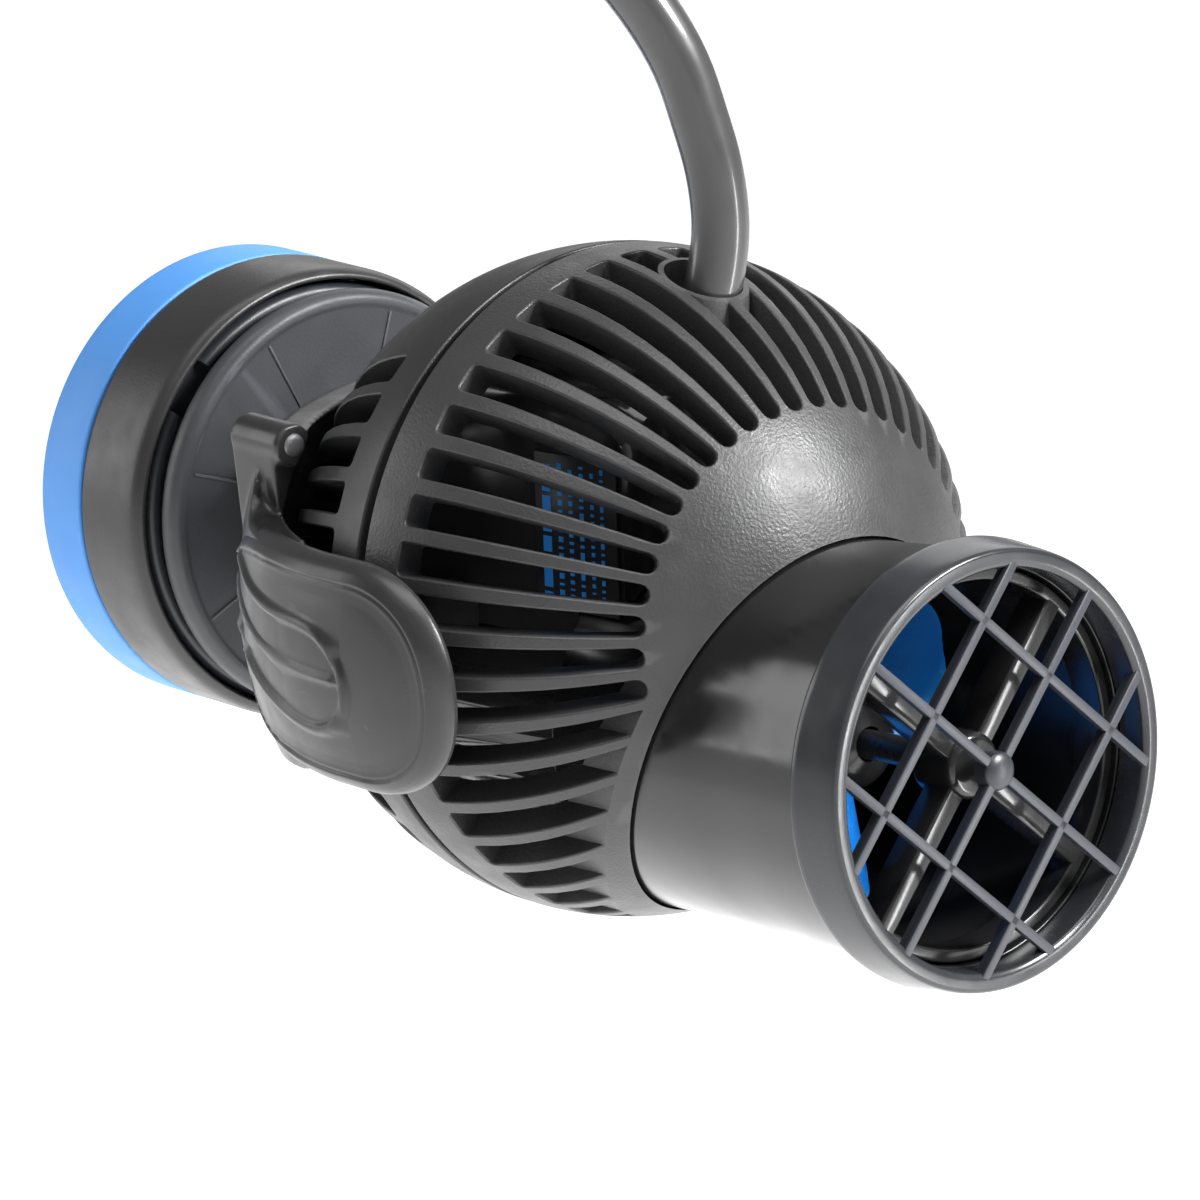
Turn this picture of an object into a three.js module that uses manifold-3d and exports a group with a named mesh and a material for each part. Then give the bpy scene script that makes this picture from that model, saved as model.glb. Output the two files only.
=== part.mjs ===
// Aquarium stream pump: a slotted ball housing in a clamp, on a magnetic holder that sits on a glass pane.
// Millimetres. +X runs from the glass through the holder to the outlet, +Z is up.
// The origin is the middle of the blue pad's face that rests on the glass.
import * as THREE from 'three';
import { mergeVertices } from 'three/addons/utils/BufferGeometryUtils.js';
import Module from 'manifold-3d';

const wasm = await Module();
wasm.setup();

// ---------------------------------------------------------------- driving dimensions
const GAP = 0.3; // clearance between neighbouring pieces
const ROUND = 36; // facets round a large turned piece
const FINE = 12; // facets round a small one

const BALL_X = 73; // ball centre from the glass
const BALL_R = 35;
const BALL_WALL = 3.4;
const BALL_YAW = 2.45; // degrees that the pump is set to in its clamp
const BALL_PITCH = 2.55;
const SEAM_X = -1.1; // where the two halves meet, from the ball centre
const SEAM_GAP = 0.5;
const SLOTS = 44; // slot pitches round each half
const SLOT_SHARE = 0.66; // of a pitch that is open
const RIM = 5.6; // solid band on each side of the seam
const SLOT_TIP = 37.5; // degrees from the axis where the slots end

const NOZZLE_DROP = 12.35; // outlet axis below the ball centre
const NOZZLE_R = 20.3; // at the ball
const NOZZLE_END_R = 21.3;
const NOZZLE_WALL = 1.7;
const NOZZLE_START = 11; // its back end, inside the ball
const NOZZLE_END = 50.9;
const COLLAR_BACK = 48.9;
const OUTLET_X = 54.7; // face of the grille
const COLLAR_R = 22.4;
const RING_R = 21.8;
const RING_IN = 19.9;
const GRILLE_PITCH = 10.8;
const GRILLE_BAR = 1.2;
const GRILLE_DEEP = 1.4;
const GRILLE_TURN = -38.7; // degrees

const DISC_R = 25.7; // blue pad
const PAD_DEEP = 7.6;
const HOUSING_R = 25.5;
const HOUSING_END = 18.8;
const PLATE_R = 23.5;
const PLATE_FACE = 23.2;

const CLAMP_ROLL = 7.4; // degrees about X, near paddle down
const CLAMP_IN = 36.8; // radius of the clamp's inside, about the ball centre
const CLAMP_OUT = 40.4;
const CLAMP_BASE = 43.5; // flat back of the clamp, from the ball centre
const PADDLE_R = 12.4;
const PADDLE_MID = 6.2; // middle of the near paddle's round end, along X
const FAR_PADDLE_MID = -7; // the far paddle is shorter
const NOTCH_X = -19.8; // root of the notch between boss and paddle
const PADDLE_NECK = -14.5; // where the notch's curve runs into the paddle's edge
const YOKE_HALF = 18; // half height of the clamp behind the ball

const BORE_R = 7.6; // rotor chamber
const SHAFT_R = 1.5;

const CORD_R = 3;
const COIL_RADII = [33, 51]; // middle of the innermost and outermost layer of turns
const COIL_TURNS_WIDE = 5;

const deg = THREE.MathUtils.degToRad;

// ---------------------------------------------------------------- finishes
const finish = (color, roughness, metalness = 0) =>
  new THREE.MeshStandardMaterial({ color, roughness, metalness });
const BLUE_PAD = finish(0x4d9bf0, 0.55);
const BLACK_SHELL = finish(0x2b2b2c, 0.45);
const BLACK_GLOSS = finish(0x1d1d1f, 0.25);
const GREY_PLASTIC = finish(0x4a4f58, 0.5);
const GREY_RING = finish(0x454b54, 0.45);
const PROP_BLUE = finish(0x1f7ff0, 0.35);
const SOFT_RUBBER = finish(0x36383b, 0.8);
const MAGNET = finish(0x8d9094, 0.3, 1);
const STEEL = finish(0xb9bcc0, 0.25, 1);
const CERAMIC = finish(0xe9e6df, 0.3);
const CORD_BLACK = finish(0x202021, 0.35);
const LABEL_BLUE = finish(0x1c5fb4, 0.5);

// ---------------------------------------------------------------- closed solids
// One closed body: shared vertices, no collapsed triangles, faces pointing out.
function welded(geometry) {
  const bare = geometry.clone();
  for (const name of Object.keys(bare.attributes)) {
    if (name !== 'position') bare.deleteAttribute(name);
  }
  const merged = mergeVertices(bare, 1e-4);
  const at = merged.attributes.position;
  const index = merged.index.array;
  const faces = [];
  let volume = 0;
  const [a, b, c] = [0, 0, 0].map(() => new THREE.Vector3());
  for (let i = 0; i < index.length; i += 3) {
    const [p, q, r] = index.slice(i, i + 3);
    if (p === q || q === r || r === p) continue;
    a.fromBufferAttribute(at, p);
    b.fromBufferAttribute(at, q);
    c.fromBufferAttribute(at, r);
    volume += a.dot(b.cross(c));
    faces.push(p, q, r);
  }
  if (volume < 0) faces.reverse();
  merged.setIndex(faces);
  return merged;
}

function solidOf(geometry) {
  const g = welded(geometry);
  const vertProperties = new Float32Array(g.attributes.position.array);
  const triVerts = new Uint32Array(g.index.array);
  return new wasm.Manifold(new wasm.Mesh({ numProp: 3, vertProperties, triVerts }));
}

function geometryOf(solid) {
  const mesh = solid.getMesh();
  const geometry = new THREE.BufferGeometry();
  geometry.setAttribute('position', new THREE.BufferAttribute(new Float32Array(mesh.vertProperties), 3));
  geometry.setIndex(Array.from(mesh.triVerts));
  return geometry;
}

const join = (...shapes) => geometryOf(shapes.map(solidOf).reduce((all, next) => all.add(next)));
const cut = (first, ...others) =>
  geometryOf(others.map(solidOf).reduce((left, next) => left.subtract(next), solidOf(first)));
const common = (one, other) => geometryOf(solidOf(one).intersect(solidOf(other)));

// ---------------------------------------------------------------- basic shapes
// A profile of [x, radius] points turned about the X axis.
function turned(profile, facets = ROUND) {
  const outline = [...profile, profile[0]].map(([x, radius]) => new THREE.Vector2(radius, x));
  return welded(new THREE.LatheGeometry(outline, facets).rotateZ(-Math.PI / 2));
}

const rod = (from, to, radius, facets = ROUND) =>
  turned([[from, 0], [from, radius], [to, radius], [to, 0]], facets);
const tube = (from, to, outside, inside, facets = ROUND) =>
  turned([[from, inside], [from, outside], [to, outside], [to, inside]], facets);

function block(from, to) {
  const size = to.map((value, i) => value - from[i]);
  const middle = to.map((value, i) => (value + from[i]) / 2);
  return new THREE.BoxGeometry(...size).translate(...middle);
}

// An arc of [x, radius] points about the ball centre, by the angle from +X in degrees.
function arc(radius, from, to, steps) {
  return Array.from({ length: steps + 1 }, (_, i) => {
    const angle = deg(from + ((to - from) * i) / steps);
    return [radius * Math.cos(angle), radius * Math.sin(angle)];
  });
}

const ball = (radius, facets = 32) => turned(arc(radius, 180, 0, facets / 2), facets);

// ---------------------------------------------------------------- magnetic holder
const glassPad = () => rod(0, PAD_DEEP, DISC_R);

function magnetHousing() {
  const back = PAD_DEEP + GAP;
  const floor = back + 1.5;
  const inside = HOUSING_R - 1.4;
  return turned([
    [back, 0], [back, HOUSING_R], [HOUSING_END - 1.6, HOUSING_R - 0.1], [HOUSING_END - 0.5, HOUSING_R - 0.3],
    [HOUSING_END, HOUSING_R - 0.8], [HOUSING_END, inside + 0.2], [HOUSING_END - 0.4, inside],
    [floor, inside], [floor, 0],
  ]);
}

const holderMagnet = () => rod(9.7, 12.7, 23.6);
const backingPlate = () => rod(13, 14.2, 23.6);

function lockRing() {
  const ring = turned([
    [14.5, 18], [14.5, PLATE_R + 0.2], [17.9, PLATE_R + 0.2], [18.5, PLATE_R - 0.5], [18.6, 18],
  ]);
  const notch = block([17, -3.2, PLATE_R - 3], [19.5, 3.2, PLATE_R + 2]).rotateX(deg(52));
  return cut(ring, notch);
}

function turnPlate() {
  const body = turned([
    [14.8, 0], [14.8, 17.6], [18.9, 17.6], [18.9, PLATE_R - 2], [20.1, PLATE_R - 2],
    [20.3, PLATE_R - 0.4], [20.9, PLATE_R], [22.3, PLATE_R], [22.9, PLATE_R - 0.4], [PLATE_FACE, PLATE_R - 1.2],
    [PLATE_FACE, 0],
  ]);
  return cut(body, rod(19.8, PLATE_FACE + 1, SHAFT_R + GAP, FINE));
}

// ---------------------------------------------------------------- clamp, about the ball centre
function clampOutline(middle) {
  const side = new THREE.Shape();
  const foot = -CLAMP_BASE;
  side.moveTo(foot, -YOKE_HALF);
  side.lineTo(-23.5, -YOKE_HALF);
  side.quadraticCurveTo(NOTCH_X, -YOKE_HALF, NOTCH_X, -15);
  side.quadraticCurveTo(NOTCH_X, -PADDLE_R, PADDLE_NECK, -PADDLE_R);
  side.lineTo(middle, -PADDLE_R);
  side.absarc(middle, 0, PADDLE_R, -Math.PI / 2, Math.PI / 2);
  side.lineTo(PADDLE_NECK, PADDLE_R);
  side.quadraticCurveTo(NOTCH_X, PADDLE_R, NOTCH_X, 15);
  side.quadraticCurveTo(NOTCH_X, YOKE_HALF, -23.5, YOKE_HALF);
  side.lineTo(foot, YOKE_HALF);
  side.closePath();
  return side;
}

const BOSS_SIDES = [-1, 1];
const BUFFER_SPOTS = [[-9, 8], [9, 8], [-9, -8], [9, -8]];
const BOSS_Y = 28.5;
const BOSS_Z = 19;
const BOSS_R = 2.2;
const BOSS_BACK = -26;
const CAP_R = 1.2;
const BOSS_FRONT = -16.6;

function clampBracket() {
  const deep = CLAMP_OUT + 5;
  const arm = (middle) =>
    new THREE.ExtrudeGeometry(clampOutline(middle), { depth: deep, bevelEnabled: false, curveSegments: 5 })
      .rotateX(Math.PI / 2);
  const arms = join(arm(PADDLE_MID), arm(FAR_PADDLE_MID).translate(0, deep, 0));
  const bosses = BOSS_SIDES.map((side) =>
    rod(BOSS_BACK, BOSS_FRONT, BOSS_R, FINE).translate(0, side * BOSS_Y, BOSS_Z));
  const yoke = join(common(ball(CLAMP_OUT), arms), rod(-CLAMP_BASE, -36, 15, 36), ...bosses);
  const holes = BOSS_SIDES.map((side) =>
    rod(BOSS_FRONT - 2.4, BOSS_FRONT + 3, CAP_R + GAP, FINE).translate(0, side * BOSS_Y, BOSS_Z));
  const pinSeats = turned([[-38.8, 0], [-38.8, 3.3], [38.8, 3.3], [38.8, 0]], 16).rotateZ(Math.PI / 2);
  return cut(yoke, ball(CLAMP_IN), pinSeats, ...holes,
    rod(-CLAMP_BASE - 1, -38, SHAFT_R + GAP, FINE), rod(-39.4, -30, 3.5, 16));
}

const clampCap = () => rod(BOSS_FRONT - 2.1, BOSS_FRONT + 0.2, CAP_R, FINE);
const buffer = () => rod(PLATE_FACE + GAP, BALL_X - CLAMP_BASE - GAP, 3.6, 16);

function clampScrew() {
  const seat = BALL_X - 39.1;
  return turned([[20.2, 0], [20.2, SHAFT_R], [seat, SHAFT_R], [seat, 3.2], [seat + 1.6, 3.2], [seat + 2, 2.6],
    [seat + 2, 0]], FINE);
}

// side is -1 for the near pad and 1 for the far one; the pin turns in the paddle.
function gripPad(side) {
  const pad = common(
    cut(ball(CLAMP_IN - 0.6), ball(BALL_R + GAP)),
    rod(10, 60, 9, 20).rotateZ(Math.PI / 2),
  );
  const pin = rod(CLAMP_IN - 0.9, CLAMP_IN + 1.6, 3, 16).rotateZ(Math.PI / 2);
  return join(pad, pin).rotateZ(side < 0 ? Math.PI : 0);
}

// ---------------------------------------------------------------- ball housing
const nozzleBar = (from, to, radius, facets = ROUND) => rod(from, to, radius, facets).translate(0, 0, -NOZZLE_DROP);

// A slot's cutter: a flat outline in the plane through the X axis, as thick as its share of the pitch.
function slotWedge(outline, azimuth) {
  const half = (deg(360 / SLOTS) * SLOT_SHARE) / 2;
  const count = outline.length;
  const points = [-half, half].flatMap((turn) => outline.map(([x, radius]) => [
    x, radius * Math.cos(azimuth + turn), radius * Math.sin(azimuth + turn),
  ]));
  const faces = [];
  for (let i = 0; i < count; i++) {
    const next = (i + 1) % count;
    faces.push(i, next, count + i, next, count + next, count + i);
    if (i > 0 && i < count - 1) faces.push(0, i + 1, i, count, count + i, count + i + 1);
  }
  const geometry = new THREE.BufferGeometry();
  geometry.setAttribute('position', new THREE.Float32BufferAttribute(points.flat(), 3));
  geometry.setIndex(faces);
  return geometry;
}

const CABLE_X = 12.7; // where the cable leaves the ball, in the ball's own frame
const CABLE_HOLE_R = CORD_R + 1;
const cableBar = (radius, from = 20) => rod(from, 50, radius, 20).rotateY(-Math.PI / 2).translate(CABLE_X, 0, 0);

function slotRing(sign, open) {
  const edge = sign > 0 ? SEAM_X + RIM : SEAM_X - RIM;
  const tip = (radius) => [sign * radius * Math.cos(deg(SLOT_TIP)), radius * Math.sin(deg(SLOT_TIP))];
  const outline = [[edge, 26], [edge, 38], [sign * 26, 33], tip(37.5), tip(28)];
  const cutters = [];
  for (let i = 0; i < SLOTS; i++) {
    const azimuth = ((i + 0.5) * 360) / SLOTS;
    if (open(azimuth)) cutters.push(slotWedge(outline, deg(azimuth)));
  }
  return join(...cutters);
}

const near = (azimuth, middle) => Math.abs(((azimuth - middle + 540) % 360) - 180);

function halfShell(from, to) {
  const outside = arc(BALL_R, from, to, 5);
  const inside = arc(BALL_R - BALL_WALL, to, from, 3);
  return turned([...outside, ...inside], SLOTS);
}

function frontHousing() {
  const seam = THREE.MathUtils.radToDeg(Math.acos((SEAM_X + SEAM_GAP / 2) / BALL_R));
  const slots = cut(slotRing(1, () => true), nozzleBar(0, 60, NOZZLE_R + 1.9), cableBar(7));
  return cut(halfShell(0, seam), slots, nozzleBar(0, 60, NOZZLE_R + GAP), cableBar(CABLE_HOLE_R));
}

function rearHousing() {
  const seam = THREE.MathUtils.radToDeg(Math.acos((SEAM_X - SEAM_GAP / 2) / BALL_R));
  const slots = slotRing(-1, (azimuth) => near(azimuth, 90) > 38);
  return cut(halfShell(seam, 180), slots, cableBar(CABLE_HOLE_R));
}

// ---------------------------------------------------------------- nozzle and outlet
function nozzleTube() {
  const slope = (NOZZLE_END_R - NOZZLE_R) / (NOZZLE_END - BALL_R);
  const seat = 46.2;
  return turned([
    [NOZZLE_START, NOZZLE_R - NOZZLE_WALL], [NOZZLE_START, NOZZLE_R], [BALL_R, NOZZLE_R],
    [NOZZLE_END, NOZZLE_END_R], [NOZZLE_END, RING_IN - 0.1], [seat, RING_IN - 0.1],
    [seat, NOZZLE_R - NOZZLE_WALL + slope * (seat - BALL_R)], [BALL_R, NOZZLE_R - NOZZLE_WALL],
  ]).translate(0, 0, -NOZZLE_DROP);
}

const SPIDER = [46.5, 50.6];

function bearingSpider() {
  const rim = tube(SPIDER[0], SPIDER[1], RING_IN - 0.4, RING_IN - 1.7);
  const arms = [0, 90].map((turn) =>
    block([SPIDER[0] + 0.4, -19, -1.1], [SPIDER[1], 19, 1.1]).rotateX(deg(GRILLE_TURN + turn)));
  const hub = rod(SPIDER[0] - 0.8, SPIDER[1] + 0.6, 3.4, 16);
  return cut(join(rim, ...arms, hub), rod(40, SPIDER[1] - 0.8, 2.7, FINE)).translate(0, 0, -NOZZLE_DROP);
}

function outletGrille() {
  const lip = SPIDER[1] + 0.6;
  const collar = turned([
    [COLLAR_BACK, NOZZLE_END_R + GAP], [COLLAR_BACK, COLLAR_R], [OUTLET_X - 0.5, RING_R + 0.1],
    [OUTLET_X, RING_R - 0.3], [OUTLET_X, RING_IN], [lip, RING_IN], [lip, NOZZLE_END_R + GAP],
  ]);
  const bars = [0, 90].flatMap((turn) => [-1, 0, 1].map((row) => {
    const middle = row * GRILLE_PITCH;
    const reach = Math.sqrt((RING_IN + 0.5) ** 2 - middle ** 2);
    return block([OUTLET_X - GRILLE_DEEP, -reach, middle - GRILLE_BAR / 2],
      [OUTLET_X - 0.02, reach, middle + GRILLE_BAR / 2]).rotateX(deg(GRILLE_TURN + turn));
  }));
  const boss = turned([[OUTLET_X - GRILLE_DEEP - 0.3, 0], [OUTLET_X - GRILLE_DEEP - 0.3, 1.9],
    [OUTLET_X, 1.9], [OUTLET_X + 0.5, 1.2], [OUTLET_X + 0.6, 0]], 16);
  return join(collar, ...bars, boss).translate(0, 0, -NOZZLE_DROP);
}

// ---------------------------------------------------------------- motor
const BLOCK_BACK = -25;
const BLOCK_FRONT = 18;
const BLOCK_TOP = 22;
const BLOCK_HALF = 16;

function motorBlock() {
  const body = join(
    nozzleBar(BLOCK_BACK, NOZZLE_START - 2, 16.5, 28),
    block([-22, -BLOCK_HALF, -12], [BLOCK_FRONT, BLOCK_HALF, BLOCK_TOP]),
  );
  const beside = cut(common(body, ball(29.8)), nozzleBar(NOZZLE_START - GAP, BALL_R, NOZZLE_R + GAP));
  const nose = nozzleBar(NOZZLE_START - 4, BLOCK_FRONT, 12, 28);
  return cut(join(beside, nose), nozzleBar(-20, BLOCK_FRONT + 1, BORE_R, 20), nozzleBar(-23, -19, 3.3, FINE));
}

const ratingLabel = () => block([5, -BLOCK_HALF - GAP - 0.3, 0.3], [17.6, -BLOCK_HALF - GAP, 16]);
const rearBush = () => tube(-22.6, -20.2, 3, SHAFT_R + GAP, FINE).translate(0, 0, -NOZZLE_DROP);
const frontBush = () => tube(46.2, SPIDER[1] - 1.1, 2.4, SHAFT_R + GAP, FINE).translate(0, 0, -NOZZLE_DROP);
const rotorMagnet = () => tube(-18.5, 1.5, BORE_R - 0.7, SHAFT_R + GAP, 20);
const rotorShaft = () => rod(-22, SPIDER[1] - 1.4, SHAFT_R, FINE);
const rearBuffer = () => rod(-29.8, BLOCK_BACK - GAP, 5, 16);
const sideBuffer = (side) => rod(BLOCK_HALF + GAP, 28.3, 3.4, FINE).rotateZ((side * Math.PI) / 2).translate(-8, 0, -2);

const PROP = [24, 36];
const BLADES = 3;

// A blade is a thin flat leaf, swept out from the hub and turned to its pitch.
function blade(turn) {
  const leaf = new THREE.Shape();
  leaf.moveTo(-4.5, 4);
  leaf.lineTo(4.5, 4);
  leaf.quadraticCurveTo(7.4, 11, 6.4, 16.6);
  leaf.quadraticCurveTo(0, 18.6, -6.4, 16.6);
  leaf.quadraticCurveTo(-7.4, 11, -4.5, 4);
  return new THREE.ExtrudeGeometry(leaf, { depth: 1.6, bevelEnabled: false, curveSegments: 5 })
    .translate(0, 0, -0.8)
    .rotateY(deg(42))
    .rotateX(turn)
    .translate((PROP[0] + PROP[1]) / 2, 0, 0);
}

function propeller() {
  const hub = turned([[PROP[0], 0], [PROP[0], 5.6], [PROP[1] - 3, 5.6], [PROP[1] - 0.8, 4.2], [PROP[1], 2.6],
    [PROP[1], 0]], 16);
  const blades = Array.from({ length: BLADES }, (_, i) => blade((i * 2 * Math.PI) / BLADES));
  return cut(common(join(hub, ...blades), rod(10, 45, 17.6)), rod(0, 60, SHAFT_R + GAP, FINE));
}

// ---------------------------------------------------------------- cable
// The cable and its coil lie in one upright plane. Its points are [along, up] in that plane.
const CORD_ROUTE = [
  [7.5, 22.8], [7.5, 26], [7.8, 30.1], [8.6, 33.9], [8.95, 38.6], [8.3, 43.9], [6.8, 49.2], [4.9, 54.6],
  [1.9, 59.8], [-2.4, 65.2], [-8, 70.4], [-14.8, 74.8], [-22.2, 77.6], [-29.5, 78.6],
];
const CORD_ALONG = new THREE.Vector3(0.613, 0.79, 0);
const CORD_BESIDE = new THREE.Vector3(6.79, -5.27, 0); // from the ball centre to the plane
const COIL_MIDDLE = [-29.5, 129.6];
const COIL_OUT = COIL_RADII[1] + CORD_R;
const COIL_IN = COIL_RADII[0] - CORD_R;
const COIL_HALF = COIL_TURNS_WIDE * CORD_R;
const TAIL_R = 24;
const TAIL_MIDDLE = [4.5, 7.8]; // from the coil's middle
const PLUG_UP = TAIL_MIDDLE[1] - TAIL_R;

function inCordPlane([along, up]) {
  return CORD_ALONG.clone().multiplyScalar(along).add(CORD_BESIDE).add(new THREE.Vector3(BALL_X, 0, up));
}

function cordTube(points, steps) {
  const path = new THREE.CatmullRomCurve3(points, false, 'centripetal');
  const section = new THREE.Shape().absarc(0, 0, CORD_R, 0, 2 * Math.PI);
  return welded(new THREE.ExtrudeGeometry(section, { steps, extrudePath: path, curveSegments: 5 }));
}

// A solid turned about X, set into the cord's plane with its axis across that plane.
function setInCoil(geometry, along = 0, up = 0) {
  const middle = inCordPlane([COIL_MIDDLE[0] + along, COIL_MIDDLE[1] + up]);
  const across = Math.atan2(CORD_ALONG.y, CORD_ALONG.x) - Math.PI / 2;
  return geometry.rotateZ(across).translate(middle.x, middle.y, middle.z);
}

const coilRing = (grow = 0) => setInCoil(turned([
  [-COIL_HALF - grow, COIL_IN - grow], [-COIL_HALF - grow, COIL_OUT + grow],
  [COIL_HALF + grow, COIL_OUT + grow], [COIL_HALF + grow, COIL_IN - grow],
]));

const cable = () => cut(cordTube(CORD_ROUTE.map(inCordPlane), 22), coilRing(GAP));

function cableEnd() {
  const points = [];
  for (let angle = 60; angle >= -90; angle -= 15) {
    points.push(inCordPlane([
      COIL_MIDDLE[0] + TAIL_MIDDLE[0] + TAIL_R * Math.cos(deg(angle)),
      COIL_MIDDLE[1] + TAIL_MIDDLE[1] + TAIL_R * Math.sin(deg(angle)),
    ]));
  }
  return cut(cordTube(points, 12), coilRing(GAP));
}

const cableCoil = () => coilRing();

// A flat strap round the coil's bundle at an angle on the ring.
function cableTie(angle) {
  const strap = cut(
    block([-COIL_HALF - 1.4, -2.2, COIL_IN - 1.4], [COIL_HALF + 1.4, 2.2, COIL_OUT + 1.4]),
    block([-COIL_HALF - GAP, -3, COIL_IN - GAP], [COIL_HALF + GAP, 3, COIL_OUT + GAP]),
  );
  const lock = block([COIL_HALF + 1.2, -3, COIL_IN + 8], [COIL_HALF + 4, 3, COIL_IN + 13]);
  return setInCoil(join(strap, lock).rotateX(deg(angle)));
}

// Plug pieces are turned about the cord's end and lie along the plane, away from the cable.
function setOnPlug(geometry) {
  const end = inCordPlane([COIL_MIDDLE[0] + TAIL_MIDDLE[0], COIL_MIDDLE[1] + PLUG_UP]);
  const heading = Math.atan2(-CORD_ALONG.y, -CORD_ALONG.x);
  return geometry.rotateZ(heading).translate(end.x, end.y, end.z);
}

const plugRelief = () => setOnPlug(turned([[2 * GAP, 0], [2 * GAP, 3.6], [6, 4.6], [6, 0]], 16));
const plugBody = () => setOnPlug(turned([[6.3, 0], [6.3, 4.9], [7, 5.4], [17.2, 5.4], [18, 4.8], [18, 0]], 20));
const plugTip = () => setOnPlug(tube(18.3, 26, 2.75, 1.3, 16));

function cableGland() {
  const foot = inCordPlane([CORD_ROUTE[0][0], 0]);
  return tube(BLOCK_TOP + 4 * GAP, 25.4, 4.4, CORD_R + GAP, 16).rotateY(-Math.PI / 2).translate(foot.x, foot.y, 0);
}

// ---------------------------------------------------------------- assembly
const pump = new THREE.Group();
const clamp = new THREE.Group();
clamp.position.x = BALL_X;
clamp.rotation.x = deg(CLAMP_ROLL);
const plate = new THREE.Group();
plate.rotation.x = deg(CLAMP_ROLL);
const housing = new THREE.Group();
housing.position.x = BALL_X;
housing.rotation.set(0, -deg(BALL_PITCH), deg(BALL_YAW), 'ZYX');
const rotor = new THREE.Group();
rotor.position.z = -NOZZLE_DROP;
rotor.rotation.x = deg(-50);
housing.add(rotor);
pump.add(plate, clamp, housing);

function piece(name, geometry, material, parent = pump) {
  const mesh = new THREE.Mesh(welded(geometry), material);
  mesh.name = name;
  parent.add(mesh);
  return mesh;
}

piece('glass_pad', glassPad(), BLUE_PAD);
piece('magnet_housing', magnetHousing(), BLACK_SHELL);
piece('holder_magnet', holderMagnet(), MAGNET);
piece('backing_plate', backingPlate(), STEEL);
piece('lock_ring', lockRing(), GREY_RING);

piece('turn_plate', turnPlate(), GREY_PLASTIC, plate);
BUFFER_SPOTS.forEach(([y, z], i) => {
  piece(`clamp_buffer_${i + 1}`, buffer(), SOFT_RUBBER, plate).position.set(0, y, z);
});
BOSS_SIDES.forEach((side, i) => {
  piece(`clamp_cap_${i + 1}`, clampCap(), STEEL, clamp).position.set(0, BOSS_Y * side, BOSS_Z);
});
piece('clamp_screw', clampScrew(), STEEL, plate);
piece('clamp_bracket', clampBracket(), BLACK_GLOSS, clamp);
piece('grip_pad_near', gripPad(-1), SOFT_RUBBER, clamp);
piece('grip_pad_far', gripPad(1), SOFT_RUBBER, clamp);

piece('rear_housing', rearHousing(), BLACK_SHELL, housing);
piece('front_housing', frontHousing(), BLACK_SHELL, housing);
piece('nozzle_tube', nozzleTube(), BLACK_GLOSS, housing);
piece('bearing_spider', bearingSpider(), BLACK_GLOSS, housing);
piece('outlet_grille', outletGrille(), GREY_RING, housing);
piece('motor_block', motorBlock(), BLACK_GLOSS, housing);
piece('rating_label', ratingLabel(), LABEL_BLUE, housing);
piece('rear_bush', rearBush(), CERAMIC, housing);
piece('front_bush', frontBush(), CERAMIC, housing);
piece('motor_buffer_rear', rearBuffer(), SOFT_RUBBER, housing);
piece('motor_buffer_near', sideBuffer(-1), SOFT_RUBBER, housing);
piece('motor_buffer_far', sideBuffer(1), SOFT_RUBBER, housing);

piece('rotor_magnet', rotorMagnet(), MAGNET, rotor);
piece('rotor_shaft', rotorShaft(), CERAMIC, rotor);
piece('propeller', propeller(), PROP_BLUE, rotor);

piece('cable_gland', cableGland(), SOFT_RUBBER);
piece('cable', cable(), CORD_BLACK);
piece('cable_coil', cableCoil(), CORD_BLACK);
piece('cable_end', cableEnd(), CORD_BLACK);
piece('cable_tie_1', cableTie(105), BLACK_GLOSS);
piece('cable_tie_2', cableTie(-12), BLACK_GLOSS);
piece('plug_relief', plugRelief(), SOFT_RUBBER);
piece('plug_body', plugBody(), BLACK_GLOSS);
piece('plug_tip', plugTip(), STEEL);

export default pump;
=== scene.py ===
import math

import bmesh
import bpy
import numpy as np
from mathutils import Matrix, Vector


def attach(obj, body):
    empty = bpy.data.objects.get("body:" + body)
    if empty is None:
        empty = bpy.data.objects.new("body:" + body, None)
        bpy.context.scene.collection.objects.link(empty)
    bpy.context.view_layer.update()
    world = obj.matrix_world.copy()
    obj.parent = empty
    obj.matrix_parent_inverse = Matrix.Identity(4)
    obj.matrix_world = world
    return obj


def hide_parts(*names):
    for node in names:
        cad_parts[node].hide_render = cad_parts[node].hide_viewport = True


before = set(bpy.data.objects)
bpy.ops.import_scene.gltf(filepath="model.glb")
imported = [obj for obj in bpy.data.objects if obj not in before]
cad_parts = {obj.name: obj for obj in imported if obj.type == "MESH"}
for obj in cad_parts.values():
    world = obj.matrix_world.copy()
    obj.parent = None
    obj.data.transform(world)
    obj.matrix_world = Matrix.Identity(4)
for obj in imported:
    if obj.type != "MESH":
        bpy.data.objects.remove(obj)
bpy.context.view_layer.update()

sizes = {
    "mm": 0.001,  # pieces are drawn in millimetres and shrunk into place
    "ballX": 0.073, "ballRadius": 35.0, "ballWall": 3.4, "pumpYaw": 2.45, "pumpPitch": 2.55,
    "clampRoll": 7.4, "nozzleDrop": 12.35, "rotorTurn": -50.0,
}


def turn(degrees, axis):
    return Matrix.Rotation(math.radians(degrees), 4, axis)


shrink = Matrix.Scale(sizes["mm"], 4)
ballMiddle = Matrix.Translation((sizes["ballX"], 0, 0))
holderPlace = shrink
platePlace = turn(sizes["clampRoll"], "X") @ shrink
clampPlace = ballMiddle @ platePlace
pumpPlace = ballMiddle @ turn(sizes["pumpYaw"], "Z") @ turn(-sizes["pumpPitch"], "Y") @ shrink
nozzlePlace = pumpPlace @ Matrix.Translation((0, 0, -sizes["nozzleDrop"]))
rotorPlace = nozzlePlace @ turn(sizes["rotorTurn"], "X")

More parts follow.
